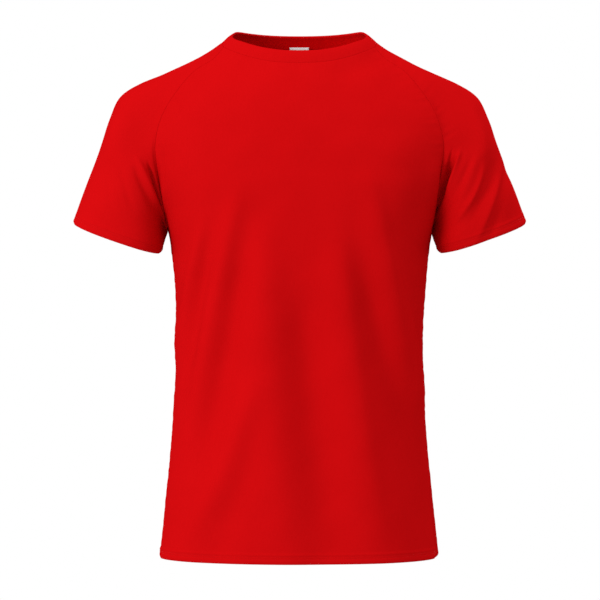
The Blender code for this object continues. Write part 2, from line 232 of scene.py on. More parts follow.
def rowSlope(level, side):
    columns = middleOf(side)
    back = 1 if side == "front" else -1
    end = seamPoint(level, side)
    angle = np.radians(readColumn(columns, "angle", level))
    rise = cut["rowBow"] * (end[2] - readColumn(columns, "z", level)) / end[0]
    return unit(np.array([np.cos(angle), back * np.sin(angle), rise * np.cos(angle)]))


def halfRow(level, side, shares):
    # from the middle of the panel to its +X seam
    columns = middleOf(side)
    end = seamPoint(level, side)
    middleY, middleZ = readColumn(columns, "y", level), readColumn(columns, "z", level)
    start = np.array([0, middleY])
    chord = np.hypot(end[0], end[1] - middleY)
    leave = unit(rowSlope(level, side)[:2])
    flat = cubicArc(
        start,
        start + np.array([1, 0]) * readColumn(columns, "middlePull", level) * chord,
        end[:2] - leave * readColumn(columns, "seamPull", level) * chord,
        end[:2],
    )
    height = middleZ + (end[2] - middleZ) * (flat[:, 0] / end[0]) ** cut["rowBow"]
    return spreadAlong(np.column_stack([flat, height]), shares)


def easedRow(plainRow, level, last, ease):
    # takes the mean of nearby rows, away from the seams, where the cloth turns at the armpit
    row = plainRow(level)
    share = smoothStep(*ease["start"], level) * smoothStep(*ease["end"], level)
    if share == 0:
        return row
    nearLevels = level + ease["reach"] * np.linspace(-1, 1, ease["rows"])
    mean = np.mean([plainRow(near) for near in np.clip(nearLevels, 0, last)], axis=0)
    column = np.arange(len(row))
    fromSeam = np.minimum(column, column[::-1]) / (len(row) - 1)
    return row + (mean - row) * (share * smoothStep(0, ease["columns"], fromSeam))[:, None]


def bodyForm(side, levels, shares):
    def plainRow(level):
        half = halfRow(level, side, shares)
        return np.vstack([half[:0:-1] * (-1, 1, 1), half])

    return np.array([easedRow(plainRow, level, cut["hemLevel"], cut["bodyEase"]) for level in levels])


def sleeveEnds(level):
    armpit = cut["armpitLevel"]
    opening = cut["creaseOpen"] * smoothStep(cut["creaseEnd"], armpit, level)
    if level >= armpit:
        end = placeOn(underarmSeam, level)
        return [(end, unit(np.array([opening, forward, 0]))) for forward in (-1.0, 1.0)]
    ends = []
    ridge = placeOn(sleeveRidge, level)
    crease = smoothStep(*cut["creaseLevels"], level)
    for side, forward in (("front", -1.0), ("back", 1.0)):
        end = seamPoint(level, side)
        along = seamPoint(level + 0.01, side) - seamPoint(max(level - 0.01, 0), side)
        normal = unit(np.cross(along, rowSlope(level, side)))
        smooth = ridge - end
        smooth = unit(smooth - normal * (smooth @ normal))
        openCrease = np.array([opening, forward, 0])
        ends.append((end, unit(smooth * (1 - crease) + openCrease * crease)))
    return ends


def plainSleeveRow(level, shares):
    ridge = placeOn(sleeveRidge, level)
    dip = smoothStep(cut["armpitLevel"], cut["cuffLevel"], level)
    halves = []
    for (end, leave), side, forward in zip(sleeveEnds(level), ("Front", "Back"), (-1, 1)):
        firstPull = leave * readColumn(sleeveRidge, "reach" + side, level)
        depth = forward * readColumn(sleeveRidge, "depth" + side, level)
        lastPull = (depth - (end[1] + ridge[1]) / 2) / cut["middleWeight"] - firstPull[1]
        drop = np.array([0, 0, cut["cuffDip"][side.lower()] * dip])
        halves.append(
            cubicArc(end, end + firstPull + drop, ridge + np.array([0, lastPull, 0]) + drop, ridge)
        )
    return np.vstack([spreadAlong(halves[0], shares), spreadAlong(halves[1], shares)[-2::-1]])


def sleeveForm(levels, shares):
    # the +X sleeve, its rows from the front seam over the arm to the back seam
    def plainRow(level):
        return plainSleeveRow(level, shares)

    return np.array([easedRow(plainRow, level, cut["cuffLevel"], cut["sleeveEase"]) for level in levels])


def outwards(grid, flip):
    down, over = np.gradient(grid, axis=0), np.gradient(grid, axis=1)
    return unit(np.cross(over, down) * (-1 if flip else 1))


# Seams and hems.

seam = {
    "rollDepth": 0.00045,  # each edge rolls in, so that the seam lies in a fine groove
    "rollReach": 0.0020,
    "neckRoll": 0.30,  # share of that depth at the neckband
    "hemRoll": 0.20,  # and at a folded edge
    "armpitLift": {"left": 0.0006, "right": 0.0092},  # how the seams stand up by the armpits
    "liftStart": (-0.188, -0.220),
    "liftEnd": (-0.2600, -0.2530),
    "armpitFill": 0.0020,  # below the armpit the two sides swell and touch
    "fillStart": (-0.2460, -0.2540),
    "fillEnd": (-0.2850, -0.2600),
    "sleeveReach": {"lift": 0.0170, "fill": 0.0055},
    "bodyReach": {"lift": 0.0150, "fill": 0.0022},
    "pucker": 0.00022,
    "puckerLength": 0.013,
    "puckerReach": 0.006,
    "creaseFade": 0.0045,  # creases die out this near a seam
    "normalReach": 0.004,  # how far from a seam the two pieces still face the same way
}
hem = {
    "depth": 0.0125,
    "wall": 0.0015,
    "foldedWall": 0.0026,
    "edgeRound": 0.0011,
    "stepOut": 0.0006,
    "stepReach": 0.0032,
    "stitchLines": (0.0100, 0.0074),  # heights above the edge
    "stitchSink": 0.0004,
    "stitchGroove": 0.0011,
    "sideFade": 0.0100,  # the hem is flat this near a seam or a sleeve's top
    "edgeTurn": 0.0012,  # how far the folded edge curls in
    "edgeReach": 0.0034,
    "cornerTurn": 0.0046,  # how far an edge turns in where the cloth folds from front to back
    "cornerHeight": 0.0072,
    "cornerReach": 0.014,
    "foldTurn": 0.65,  # share of that at the top of a sleeve
    "rows": (19, 17.5, 16.2, 15.2, 14.3, 13.4, 12.5, 11.8, 11.2, 10.6, 10, 9.4, 8.7, 8, 7.4, 6.8,
             6, 5.1, 4.3, 3.5, 2.7, 2, 1.4, 0.8, 0.3, 0),  # heights in millimetres
}
grid = {
    "raglanRows": 116,
    "sideRows": 122,
    "cuffRows": 26,
    "bodyColumns": 78,
    "sleeveColumns": 96,
    "crowding": 1.35,  # brings the columns closer together towards a seam
    "neckRows": (0, 0.03, 0.07, 0.12),
}


unevenness = {"broad": 0.0004, "fine": 0.0003}


def rollIn(distance):
    share = np.clip(1 - distance / seam["rollReach"], 0, 1)
    return seam["rollDepth"] * (1 - np.sqrt(1 - share**2))


def armpitLift(line, distance, reach):
    height, onLeft = line[..., 2], line[..., 0] > 0
    lift = np.where(onLeft, seam["armpitLift"]["left"], seam["armpitLift"]["right"])
    lift = lift * smoothStep(*seam["liftStart"], height) * smoothStep(*seam["liftEnd"], height)
    return lift * np.exp(-((distance / reach) ** 2))


def armpitFill(line, distance, reach):
    height = line[..., 2]
    fill = smoothStep(*seam["fillStart"], height) * smoothStep(*seam["fillEnd"], height)
    return seam["armpitFill"] * fill * np.exp(-distance / reach)


def seamPucker(along, distance):
    waves = 2 * np.pi * along / seam["puckerLength"]
    uneven = np.sin(waves + 1.3 * np.sin(waves * 0.37)) + 0.6 * np.sin(waves * 0.61 + 2)
    near = distance / seam["puckerReach"]
    return seam["pucker"] * uneven * near * np.exp(1 - near)


def slowWaves(points):
    # the faint unevenness of cloth that hangs free
    x, y, z = points[..., 0], points[..., 1], points[..., 2]
    broad = np.sin(61 * x + 23 * z + 1) * np.sin(37 * z - 29 * x + 31 * y)
    fine = np.sin(97 * x - 41 * z + 2) * np.sin(53 * z + 17 * y)
    return unevenness["broad"] * broad + unevenness["fine"] * fine


def hemRelief(height):
    relief = hem["stepOut"] * smoothStep(hem["depth"] + hem["stepReach"], hem["depth"], height)
    for line in hem["stitchLines"]:
        relief = relief - hem["stitchSink"] * np.exp(-(((height - line) / hem["stitchGroove"]) ** 2))
    return relief - hem["edgeTurn"] * np.clip(1 - height / hem["edgeReach"], 0, 1) ** 2


def cornerTurn(height, distance, size):
    share = np.clip(1 - height / hem["cornerHeight"] / size, 0, 1)
    near = np.exp(-((distance / hem["cornerReach"]) ** 2))
    return hem["cornerTurn"] * size * share**3 * near


def levelsTo(columns, last, count):
    # the levels from the armpit to the folded edge, and the rows of the fold
    step = np.linalg.norm(placeOn(columns, last) - placeOn(columns, last - 1))
    foldLevels = last - np.array(hem["rows"]) / 1000 / step
    return np.concatenate([np.linspace(cut["armpitLevel"], foldLevels[0], count)[1:-1], foldLevels])


raglanLevels = np.concatenate(
    [grid["neckRows"], np.linspace(0.2, cut["armpitLevel"], grid["raglanRows"])]
)
armpitRow = len(raglanLevels) - 1
bodyLevels = np.append(raglanLevels, levelsTo(sideSeam, cut["hemLevel"], grid["sideRows"]))
sleeveLevels = np.append(raglanLevels, levelsTo(sleeveRidge, cut["cuffLevel"], grid["cuffRows"]))
bodyShares = 1 - (1 - np.linspace(0, 1, grid["bodyColumns"])) ** grid["crowding"]
sleeveShares = np.linspace(0, 1, grid["sleeveColumns"]) ** grid["crowding"]

forms = {side: bodyForm(side, bodyLevels, bodyShares) for side in ("front", "back")}
forms["sleeve"] = sleeveForm(sleeveLevels, sleeveShares)
normals = {name: outwards(form, name != "back") for name, form in forms.items()}


def sharedNormals():
    # two pieces that meet at a seam roll in the same way there
    front, back, sleeve = (normals[name] for name in ("front", "back", "sleeve"))
    over, under = slice(armpitRow), slice(armpitRow + 1, None)
    meet = front[armpitRow, -1] + back[armpitRow, -1] + sleeve[armpitRow, 0] + sleeve[armpitRow, -1]
    side = front[under, -1] + back[under, -1]
    underarm = sleeve[under, 0] + sleeve[under, -1]
    frontSeam = front[over, -1] + sleeve[over, 0]
    backSeam = back[over, -1] + sleeve[over, -1]
    return {
        "front": unit(np.vstack([frontSeam, meet, side])),
        "back": unit(np.vstack([backSeam, meet, side])),
        "sleeveFront": unit(np.vstack([frontSeam, meet, underarm])),
        "sleeveBack": unit(np.vstack([backSeam, meet, underarm])),
    }


seamNormals = sharedNormals()
print("the forms and seams are laid out")


def finishedGrid(form, normal, relief, firstNormals, lastNormals, reach, folded):
    # lays the relief on a form, and rolls in its two sides and its neck edge
    down = lengthAlong(form)
    fromFirst = lengthAlong(np.moveaxis(form, 1, 0)).T
    fromLast = fromFirst[:, -1:] - fromFirst
    fromSeam = np.minimum(fromFirst, fromLast)
    fade = smoothStep(0, seam["creaseFade"], fromSeam) * smoothStep(0, seam["creaseFade"], down)
    relief = (relief + slowWaves(form)) * fade
    relief += seamPucker(down[:, -1:], fromSeam) + seamPucker(fromFirst, down) * seam["neckRoll"]
    fromSide = fromSeam
    if folded:
        fromFold = np.abs(fromFirst - fromFirst[:, form.shape[1] // 2][:, None])
        fromSide = np.minimum(fromSeam, fromFold)
    relief += hemRelief(down[-1:] - down) * smoothStep(0, hem["sideFade"], fromSide)
    toFirst = np.exp(-fromFirst / seam["normalReach"])[..., None]
    toLast = np.exp(-fromLast / seam["normalReach"])[..., None]
    turnNormal = unit(
        normal * (1 - toFirst) * (1 - toLast)
        + firstNormals[:, None] * toFirst
        + lastNormals[:, None] * toLast
    )
    turn = cornerTurn(down[-1:] - down, fromSeam, 1)
    if folded:
        turn += cornerTurn(down[-1:] - down, fromFold, hem["foldTurn"])
    firstOut, lastOut = (
        armpitLift(line, distance, reach["lift"]) + armpitFill(line, distance, reach["fill"])
        for line, distance in ((form[:, :1], fromFirst), (form[:, -1:], fromLast))
    )
    flat = 1 - (1 - seam["hemRoll"]) * smoothStep(hem["depth"], 0, down[-1:] - down)
    firstIn, lastIn = rollIn(fromFirst) * flat - firstOut, rollIn(fromLast) * flat - lastOut
    return (
        form
        + normal * relief[..., None]
        - turnNormal * turn[..., None]
        - normal[:1] * (rollIn(down) * seam["neckRoll"])[..., None]
        - firstNormals[:, None] * firstIn[..., None]
        - lastNormals[:, None] * lastIn[..., None]
    )


def clothUv(form, height):
    # the threads of the cloth run down from the middle column
    fromFirst = lengthAlong(np.moveaxis(form, 1, 0)).T
    middle = fromFirst[:, form.shape[1] // 2][:, None]
    return np.stack(np.broadcast_arrays(fromFirst - middle, height), axis=-1)


# Creases, each through three places. Lean narrows a crease's +X side and widens its other side.

creaseColumns = "startX startZ midX midZ endX endZ width endWidth height lean"

frontCreases = table(
    creaseColumns,
    (-0.042, -0.235, -0.042, -0.440, -0.010, -0.800, 0.020, 0.030, 0.0122, 0.1),
    (0.006, -0.330, 0.020, -0.500, 0.062, -0.800, 0.016, 0.026, -0.0090, 0.0),
    (0.049, -0.240, 0.068, -0.440, 0.122, -0.800, 0.014, 0.022, 0.0100, 0.2),
    (0.080, -0.285, 0.109, -0.420, 0.148, -0.590, 0.010, 0.015, -0.0048, 0.0),
    (0.084, -0.170, 0.122, -0.350, 0.164, -0.530, 0.011, 0.014, 0.0084, 0.25),
    (-0.076, -0.195, -0.111, -0.371, -0.160, -0.620, 0.009, 0.011, 0.0082, 0.0),
    (-0.060, -0.220, -0.093, -0.423, -0.140, -0.610, 0.010, 0.015, -0.0072, 0.0),
    (-0.055, -0.430, -0.095, -0.572, -0.170, -0.720, 0.012, 0.014, 0.0076, 0.0),
    (-0.049, -0.500, -0.077, -0.618, -0.140, -0.740, 0.010, 0.014, -0.0020, 0.0),
    (-0.122, -0.235, -0.147, -0.350, -0.166, -0.460, 0.005, 0.006, 0.0050, 0.0),
    (-0.110, -0.240, -0.133, -0.371, -0.156, -0.510, 0.006, 0.007, -0.0052, 0.0),
    (0.118, -0.420, 0.156, -0.592, 0.184, -0.780, 0.011, 0.016, -0.0075, 0.0),
    (0.140, -0.360, 0.153, -0.445, 0.160, -0.530, 0.004, 0.005, 0.0042, 0.0),
    (0.120, -0.080, 0.124, -0.250, 0.138, -0.440, 0.040, 0.040, 0.0054, 0.1),
    (-0.182, -0.165, -0.1740, -0.225, -0.160, -0.295, 0.0060, 0.0070, 0.0045, -0.5),
    (-0.1774, -0.158, -0.1770, -0.184, -0.1750, -0.212, 0.0020, 0.0022, -0.0015, 0.0),
    (0.182, -0.165, 0.1740, -0.225, 0.160, -0.295, 0.0060, 0.0070, 0.0058, 0.5),
)
backCreases = table(
    creaseColumns,
    (-0.050, -0.200, -0.060, -0.400, -0.090, -0.760, 0.018, 0.030, 0.0095, -0.1),
    (-0.012, -0.220, -0.006, -0.450, 0.010, -0.780, 0.018, 0.028, -0.0085, 0.0),
    (0.040, -0.190, 0.050, -0.420, 0.085, -0.770, 0.017, 0.030, 0.0100, -0.15),
    (0.075, -0.230, 0.098, -0.420, 0.130, -0.640, 0.010, 0.016, -0.0055, 0.0),
    (0.100, -0.190, 0.125, -0.350, 0.158, -0.560, 0.010, 0.013, 0.0058, -0.2),
    (-0.092, -0.200, -0.118, -0.370, -0.156, -0.600, 0.010, 0.014, 0.0060, 0.2),
    (-0.070, -0.260, -0.092, -0.430, -0.125, -0.640, 0.010, 0.016, -0.0050, 0.0),
    (0.176, -0.160, 0.173, -0.200, 0.172, -0.250, 0.004, 0.005, -0.0018, 0.0),
    (-0.176, -0.150, -0.173, -0.190, -0.172, -0.240, 0.004, 0.005, -0.0018, 0.0),
)
sleeveCreases = {
    "right": {
        "front": table(
            creaseColumns,
            (-0.2000, -0.172, -0.1900, -0.208, -0.1720, -0.242, 0.0014, 0.0026, -0.0072, 0.0),
            (-0.2160, -0.165, -0.2010, -0.205, -0.1830, -0.246, 0.0032, 0.0040, 0.0036, 0.0),
            (-0.2190, -0.178, -0.2050, -0.210, -0.1860, -0.256, 0.0030, 0.0044, -0.0032, 0.0),
            (-0.2020, -0.130, -0.1985, -0.235, -0.1960, -0.340, 0.0150, 0.0130, 0.0055, 0.3),
            (-0.2560, -0.180, -0.2510, -0.212, -0.2460, -0.256, 0.0024, 0.0034, -0.0009, 0.0),
            (-0.2370, -0.176, -0.2290, -0.208, -0.2160, -0.250, 0.0024, 0.0034, -0.0012, 0.0),
        ),
        "back": table(
            creaseColumns,
            (-0.2060, -0.158, -0.1950, -0.197, -0.1770, -0.240, 0.0028, 0.0036, -0.0080, 0.0),
            (-0.2180, -0.160, -0.2060, -0.203, -0.1880, -0.248, 0.0034, 0.0044, 0.0028, 0.0),
            (-0.2300, -0.170, -0.2200, -0.208, -0.2000, -0.258, 0.0034, 0.0048, -0.0022, 0.0),
            (-0.2480, -0.165, -0.2400, -0.215, -0.2220, -0.278, 0.0038, 0.0054, 0.0020, 0.0),
        ),
    },
    "left": {
        "front": table(
            creaseColumns,
            (0.2050, -0.085, 0.2120, -0.200, 0.2190, -0.350, 0.0230, 0.0260, 0.0082, -0.35),
            (0.2050, -0.045, 0.2350, -0.178, 0.2560, -0.330, 0.0220, 0.0240, -0.0084, 0.2),
            (0.2020, -0.155, 0.1950, -0.184, 0.1860, -0.216, 0.0012, 0.0014, -0.0030, 0.0),
            (0.2055, -0.166, 0.1905, -0.204, 0.1745, -0.246, 0.0028, 0.0036, -0.0125, 0.0),
            (0.2120, -0.156, 0.2040, -0.187, 0.1900, -0.222, 0.0024, 0.0030, 0.0044, 0.0),
            (0.2300, -0.160, 0.2120, -0.204, 0.1900, -0.252, 0.0034, 0.0046, -0.0038, 0.0),
            (0.2450, -0.170, 0.2320, -0.217, 0.1980, -0.268, 0.0024, 0.0034, 0.0038, 0.2),
            (0.2560, -0.170, 0.2440, -0.215, 0.2100, -0.282, 0.0034, 0.0050, -0.0026, 0.0),
            (0.2640, -0.172, 0.2570, -0.224, 0.2240, -0.296, 0.0028, 0.0040, 0.0040, 0.2),
            (0.2760, -0.165, 0.2670, -0.228, 0.2400, -0.300, 0.0032, 0.0044, -0.0024, 0.0),
        ),
        "back": table(
            creaseColumns,
            (0.2040, -0.158, 0.1940, -0.198, 0.1770, -0.241, 0.0026, 0.0034, -0.0080, 0.0),
            (0.2180, -0.155, 0.2060, -0.198, 0.1860, -0.246, 0.0030, 0.0040, 0.0030, 0.0),
            (0.2320, -0.165, 0.2200, -0.206, 0.1960, -0.256, 0.0034, 0.0048, -0.0022, 0.0),
            (0.2460, -0.165, 0.2360, -0.214, 0.2100, -0.276, 0.0034, 0.0050, 0.0026, 0.0),
            (0.2620, -0.170, 0.2560, -0.220, 0.2380, -0.280, 0.0040, 0.0056, 0.0018, 0.0),
        ),
    },
}


def creaseRelief(points, creases):
    across, up = points[..., 0], points[..., 2]
    relief = np.zeros(across.shape)
    for crease in zip(*creases.values()):
        startX, startZ, midX, midZ, endX, endZ, width, endWidth, height, lean = crease
        start, end = np.array([startX, startZ]), np.array([endX, endZ])
        pull = 2 * np.array([midX, midZ]) - (start + end) / 2
        t = np.linspace(0, 1, 17)[:, None]
        spine = start * (1 - t) ** 2 + 2 * pull * t * (1 - t) + end * t * t
        nearest = np.full(across.shape, np.inf)
        sideways, along = np.zeros(across.shape), np.zeros(across.shape)
        for number, (low, high) in enumerate(zip(spine[:-1], spine[1:])):
            way = high - low
            share = ((across - low[0]) * way[0] + (up - low[1]) * way[1]) / (way @ way)
            share = np.clip(share, 0, 1)
            gapX, gapZ = across - low[0] - share * way[0], up - low[1] - share * way[1]
            gap = np.hypot(gapX, gapZ)
            closer = gap < nearest
            nearest = np.where(closer, gap, nearest)
            sideways = np.where(closer, np.sign(gapX) * gap, sideways)
            along = np.where(closer, (number + share) / (len(spine) - 1), along)
        spread = (width + (endWidth - width) * along) * (1 - lean * np.sign(sideways))
        swell = smoothStep(0, 1, np.sin(np.pi * along))
        relief += height * swell * np.exp(-0.5 * (sideways / spread) ** 2)
    return relief


# Cloth made from a grid of points.


def selectOnly(piece):
    bpy.ops.object.select_all(action="DESELECT")
    piece.select_set(True)
    bpy.context.view_layer.objects.active = piece


def applyModifier(piece, kind, **settings):
    selectOnly(piece)
    modifier = piece.modifiers.new(kind.lower(), kind)
    for name, value in settings.items():
        setattr(modifier, name, value)
    bpy.ops.object.modifier_apply(modifier=modifier.name)


def clothPiece(name, points, uv, wall, foldedWall, foldedRows, edgeRound):
    rows, columns = points.shape[:2]
    bpy.ops.object.select_all(action="DESELECT")
    bpy.ops.mesh.primitive_grid_add(x_subdivisions=columns - 1, y_subdivisions=rows - 1, size=1)
    piece = bpy.context.object
    piece.name = piece.data.name = name
    mesh = piece.data
    mesh.vertices.foreach_set("co", points.reshape(-1))
    corners = np.zeros(len(mesh.loops), np.int32)
    mesh.loops.foreach_get("vertex_index", corners)
    layer = mesh.uv_layers.active
    layer.name = "cloth"
    layer.data.foreach_set("uv", uv.reshape(-1, 2)[corners].reshape(-1))
    wallGroup = piece.vertex_groups.new(name="wall")
    edgeGroup = piece.vertex_groups.new(name="edge")
    wallGroup.add(range(rows * columns), wall / foldedWall, "REPLACE")
    wallGroup.add(range((rows - foldedRows) * columns, rows * columns), 1, "REPLACE")
    edgeGroup.add(range((rows - 1) * columns, rows * columns), 1, "REPLACE")
    selectOnly(piece)
    bpy.ops.object.mode_set(mode="EDIT")
    bpy.ops.mesh.select_all(action="SELECT")
    bpy.ops.mesh.remove_doubles(threshold=0.00001)
    bpy.ops.object.mode_set(mode="OBJECT")
    outer = len(mesh.vertices)
    for side in ("outside", "inside"):
        mesh.materials.append(None)
    applyModifier(
        piece, "SOLIDIFY", thickness=foldedWall, offset=-1, vertex_group="wall", material_offset=1
    )
    onEdge = np.array(
        [any(entry.group == edgeGroup.index for entry in vertex.groups) for vertex in mesh.vertices]
    )
    ends = np.zeros(len(mesh.edges) * 2, np.int32)
    mesh.edges.foreach_get("vertices", ends)
    ends = ends.reshape(-1, 2)
    sameFace = (ends[:, 0] < outer) == (ends[:, 1] < outer)
    weights = mesh.attributes.new("bevel_weight_edge", "FLOAT", "EDGE")
    weights.data.foreach_set("value", (onEdge[ends].all(axis=1) & sameFace).astype(np.float32))
    applyModifier(
        piece,
        "BEVEL",
        limit_method="WEIGHT",
        width=edgeRound,
        segments=3,
        use_clamp_overlap=False,
    )
    bpy.ops.object.shade_smooth()
    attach(piece, "root")
    return piece


hemPieceSettings = {
    "wall": hem["wall"],
    "foldedWall": hem["foldedWall"],
    "foldedRows": sum(height <= hem["depth"] * 1000 for height in hem["rows"]),
    "edgeRound": hem["edgeRound"],
}


def bodyPanel(side, creases):
    form, normal = forms[side], normals[side]
    lastNormals = seamNormals[side]
    relief = creaseRelief(form, creases)
    points = finishedGrid(
        form, normal, relief, lastNormals * (-1, 1, 1), lastNormals, seam["bodyReach"], False
    )
    uv = clothUv(form, form[..., 2])
    if side == "front":
        points, uv = points[:, ::-1], uv[:, ::-1]
    piece = clothPiece(side + "Panel", points, uv, **hemPieceSettings)
    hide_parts(side)
    return piece, points


def sleevePanel(side, creases):
    way = np.array([1 if side == "left" else -1, 1, 1])
    form, normal = forms["sleeve"] * way, normals["sleeve"] * way
    toBack = smoothStep(*cut["backBlend"], form[..., 1])
    relief = creaseRelief(form, creases["front"]) * (1 - toBack)
    relief += creaseRelief(form, creases["back"]) * toBack
    firstNormals, lastNormals = seamNormals["sleeveFront"] * way, seamNormals["sleeveBack"] * way
    points = finishedGrid(
        form, normal, relief, firstNormals, lastNormals, seam["sleeveReach"], True
    )
    ridge = form[:, form.shape[1] // 2]
    uv = clothUv(form, -lengthAlong(ridge)[:, None])
    if side == "left":
        points, uv = points[:, ::-1], uv[:, ::-1]
    piece = clothPiece(side + "Sleeve", points, uv, **hemPieceSettings)
    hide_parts("sleeve_" + side)
    return piece, points


front, frontPoints = bodyPanel("front", frontCreases)
back, backPoints = bodyPanel("back", backCreases)
sleeves = {side: sleevePanel(side, creases) for side, creases in sleeveCreases.items()}
print("the panels and sleeves are made")


# The neckband: one folded strip round the neck.

neckband = {
    "wall": 0.0028,
    "edgeRound": 0.0013,
    "topScale": 0.870,
    "riseSide": 0.0122,
    "riseMiddle": 0.0170,
    "neckDepth": 0.078,
    "sideDip": 0.0024,  # the top edge is lower over each shoulder
    "dipPlace": -0.005,
    "dipReach": 0.024,
    "topEase": 0.008,
    "puff": 0.0010,
    "puffFoot": 0.7,  # the puff is fuller towards the top edge
    "puffGain": 0.6,
    "rows": (0, 0.04, 0.09, 0.16, 0.28, 0.42, 0.56, 0.70, 0.82, 0.91, 1),
}


def roundNeck(frontRow, backRow, sleeveRow):
    # once round the neck seam, from the centre front towards +X
    middle = len(frontRow) // 2
    otherSleeve = (sleeveRow * (-1, 1, 1))[::-1]
    return np.vstack(
        [frontRow[middle:-1], sleeveRow[:-1], backRow[:0:-1], otherSleeve[:-1], frontRow[: middle + 1]]
    )


def easedRing(ring, reach):
    # a closed ring with its corners rounded off
    along = lengthAlong(ring)
    eased, total = 0, 0
    for step in np.linspace(-2.4, 2.4, 25):
        weight = np.exp(-0.5 * step**2)
        places = (along + step * reach) % along[-1]
        eased += weight * np.stack([np.interp(places, along, axis) for axis in ring.T], axis=-1)
        total += weight
    return eased / total


def makeNeckband():
    ring = roundNeck(*(forms[name][0] for name in ("front", "back", "sleeve")))
    ringNormal = roundNeck(*(normals[name][0] for name in ("front", "back", "sleeve")))
    toMiddle = np.clip(np.abs(ring[:, 1]) / neckband["neckDepth"], 0, 1) ** 2
    rise = neckband["riseSide"] + (neckband["riseMiddle"] - neckband["riseSide"]) * toMiddle
    fromDip = (ring[:, 1] - neckband["dipPlace"]) / neckband["dipReach"]
    rise -= neckband["sideDip"] * np.exp(-(fromDip**2))
    top = ring * (neckband["topScale"], neckband["topScale"], 1)
    top[:, 2] += rise
    top = easedRing(top, neckband["topEase"])
    shares = np.array(neckband["rows"])[:, None, None]
    form = ring + (top - ring) * shares
    normal = outwards(form, False)
    up = lengthAlong(form)
    fullness = neckband["puffFoot"] + neckband["puffGain"] * shares[..., 0]
    bulge = np.sin(np.pi * shares[..., 0]) * fullness
    puff = neckband["puff"] * bulge + seamPucker(lengthAlong(ring), up) * seam["neckRoll"]
    points = form + normal * puff[..., None] - ringNormal * (rollIn(up) * seam["neckRoll"])[..., None]
    points[:, -1] = points[:, 0]
    uv = np.stack(np.broadcast_arrays(lengthAlong(ring), up), axis=-1)
    piece = clothPiece(
        "neckBand", points, uv, neckband["wall"], neckband["wall"], 0, neckband["edgeRound"]
    )
    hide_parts("neckband")
    return piece


band = makeNeckband()

# The neck label: a plain woven tab, folded at its foot and sewn in under the band.

label = {
    "width": 0.0260,
    "height": 0.0230,
    "thickness": 0.0009,
    "top": -0.0161,
    "topDepth": 0.0708,
    "footDepth": 0.0765,
    "bow": 0.0008,
    "edgeRound": 0.0003,
    "columns": 17,
    "rows": 15,
}


def makeLabel():
    across = np.linspace(-0.5, 0.5, label["columns"])[None, :]
    down = np.linspace(0, 1, label["rows"])[:, None]
    bow = label["bow"] * (1 - (2 * across) ** 2) * np.sin(np.pi * down)
    depth = label["topDepth"] + (label["footDepth"] - label["topDepth"]) * down
    parts = (across * label["width"], depth - bow, label["top"] - label["height"] * down)
    points = np.stack(np.broadcast_arrays(*parts), axis=-1)
    uv = points[..., [0, 2]]
    piece = clothPiece(
        "neckLabel", points, uv, label["thickness"], label["thickness"], 0, label["edgeRound"]
    )
    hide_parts("neck_label")
    return piece


neckLabel = makeLabel()
print("the neckband and label are made")


# Stitches: two rows round each folded edge.

stitch = {
    "pitch": 0.0030,
    "length": 0.0024,
    "width": 0.00050,
    "sink": 0.00005,
    "slopeShare": 0.002,  # how far along the line its direction is read
    "columnsInSeam": 3,
}


def stitchLine(line, normal):
    # the place and the three directions of each stitch along a line of points
    along = lengthAlong(line)
    count = int(along[-1] / stitch["pitch"])
    shares = (np.arange(count) + 0.5) / count
    places = spreadAlong(line, shares)
    ahead = spreadAlong(line, np.minimum(shares + stitch["slopeShare"], 1))
    way = unit(ahead - spreadAlong(line, shares - stitch["slopeShare"]))
    out = np.stack([np.interp(shares * along[-1], along, axis) for axis in normal.T], axis=-1)
    out = unit(out - way * (out * way).sum(axis=-1, keepdims=True))
    return places - out * stitch["sink"], way, out


def stitchPiece(name, lines):
    bpy.ops.object.select_all(action="DESELECT")
    bpy.ops.mesh.primitive_uv_sphere_add(segments=6, ring_count=4, radius=0.5)
    piece = bpy.context.object
    piece.name = piece.data.name = name
    bpy.ops.object.mode_set(mode="EDIT")
    bpy.ops.mesh.select_all(action="SELECT")
    bpy.ops.transform.resize(value=(stitch["width"], stitch["width"], stitch["length"]))
    bpy.ops.object.mode_set(mode="OBJECT")
    model = np.array([vertex.co for vertex in piece.data.vertices])
    faces = [list(polygon.vertices) for polygon in piece.data.polygons]
    places, ways, outs = (np.vstack(part) for part in zip(*(stitchLine(*line) for line in lines)))
    beside = np.cross(outs, ways)
    points = (
        places[:, None]
        + beside[:, None] * model[None, :, :1]
        + outs[:, None] * model[None, :, 1:2]
        + ways[:, None] * model[None, :, 2:]
    )
    allFaces = [
        [corner + number * len(model) for corner in face]
        for number in range(len(places))
        for face in faces
    ]
    mesh = bpy.data.meshes.new(name)
    mesh.from_pydata(points.reshape(-1, 3).tolist(), [], allFaces)
    piece.data = mesh
    selectOnly(piece)
    bpy.ops.object.shade_smooth()
    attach(piece, "root")
    return piece


def hemLines(points):
    # the two stitch rows of a folded edge; the outer columns, in the seams, are left out
    normal = outwards(points, False)
    inside = stitch["columnsInSeam"]
    heights = [height / 1000 for height in hem["rows"]]
    rows = [len(points) - len(heights) + heights.index(line) for line in hem["stitchLines"]]
    return [(points[row, inside:-inside], normal[row, inside:-inside]) for row in rows]


stitches = [
    stitchPiece("hemStitches", hemLines(frontPoints) + hemLines(backPoints)),
    *(stitchPiece(side + "CuffStitches", hemLines(points)) for side, (_, points) in sleeves.items()),
]
print("the stitches are made")


# Materials.


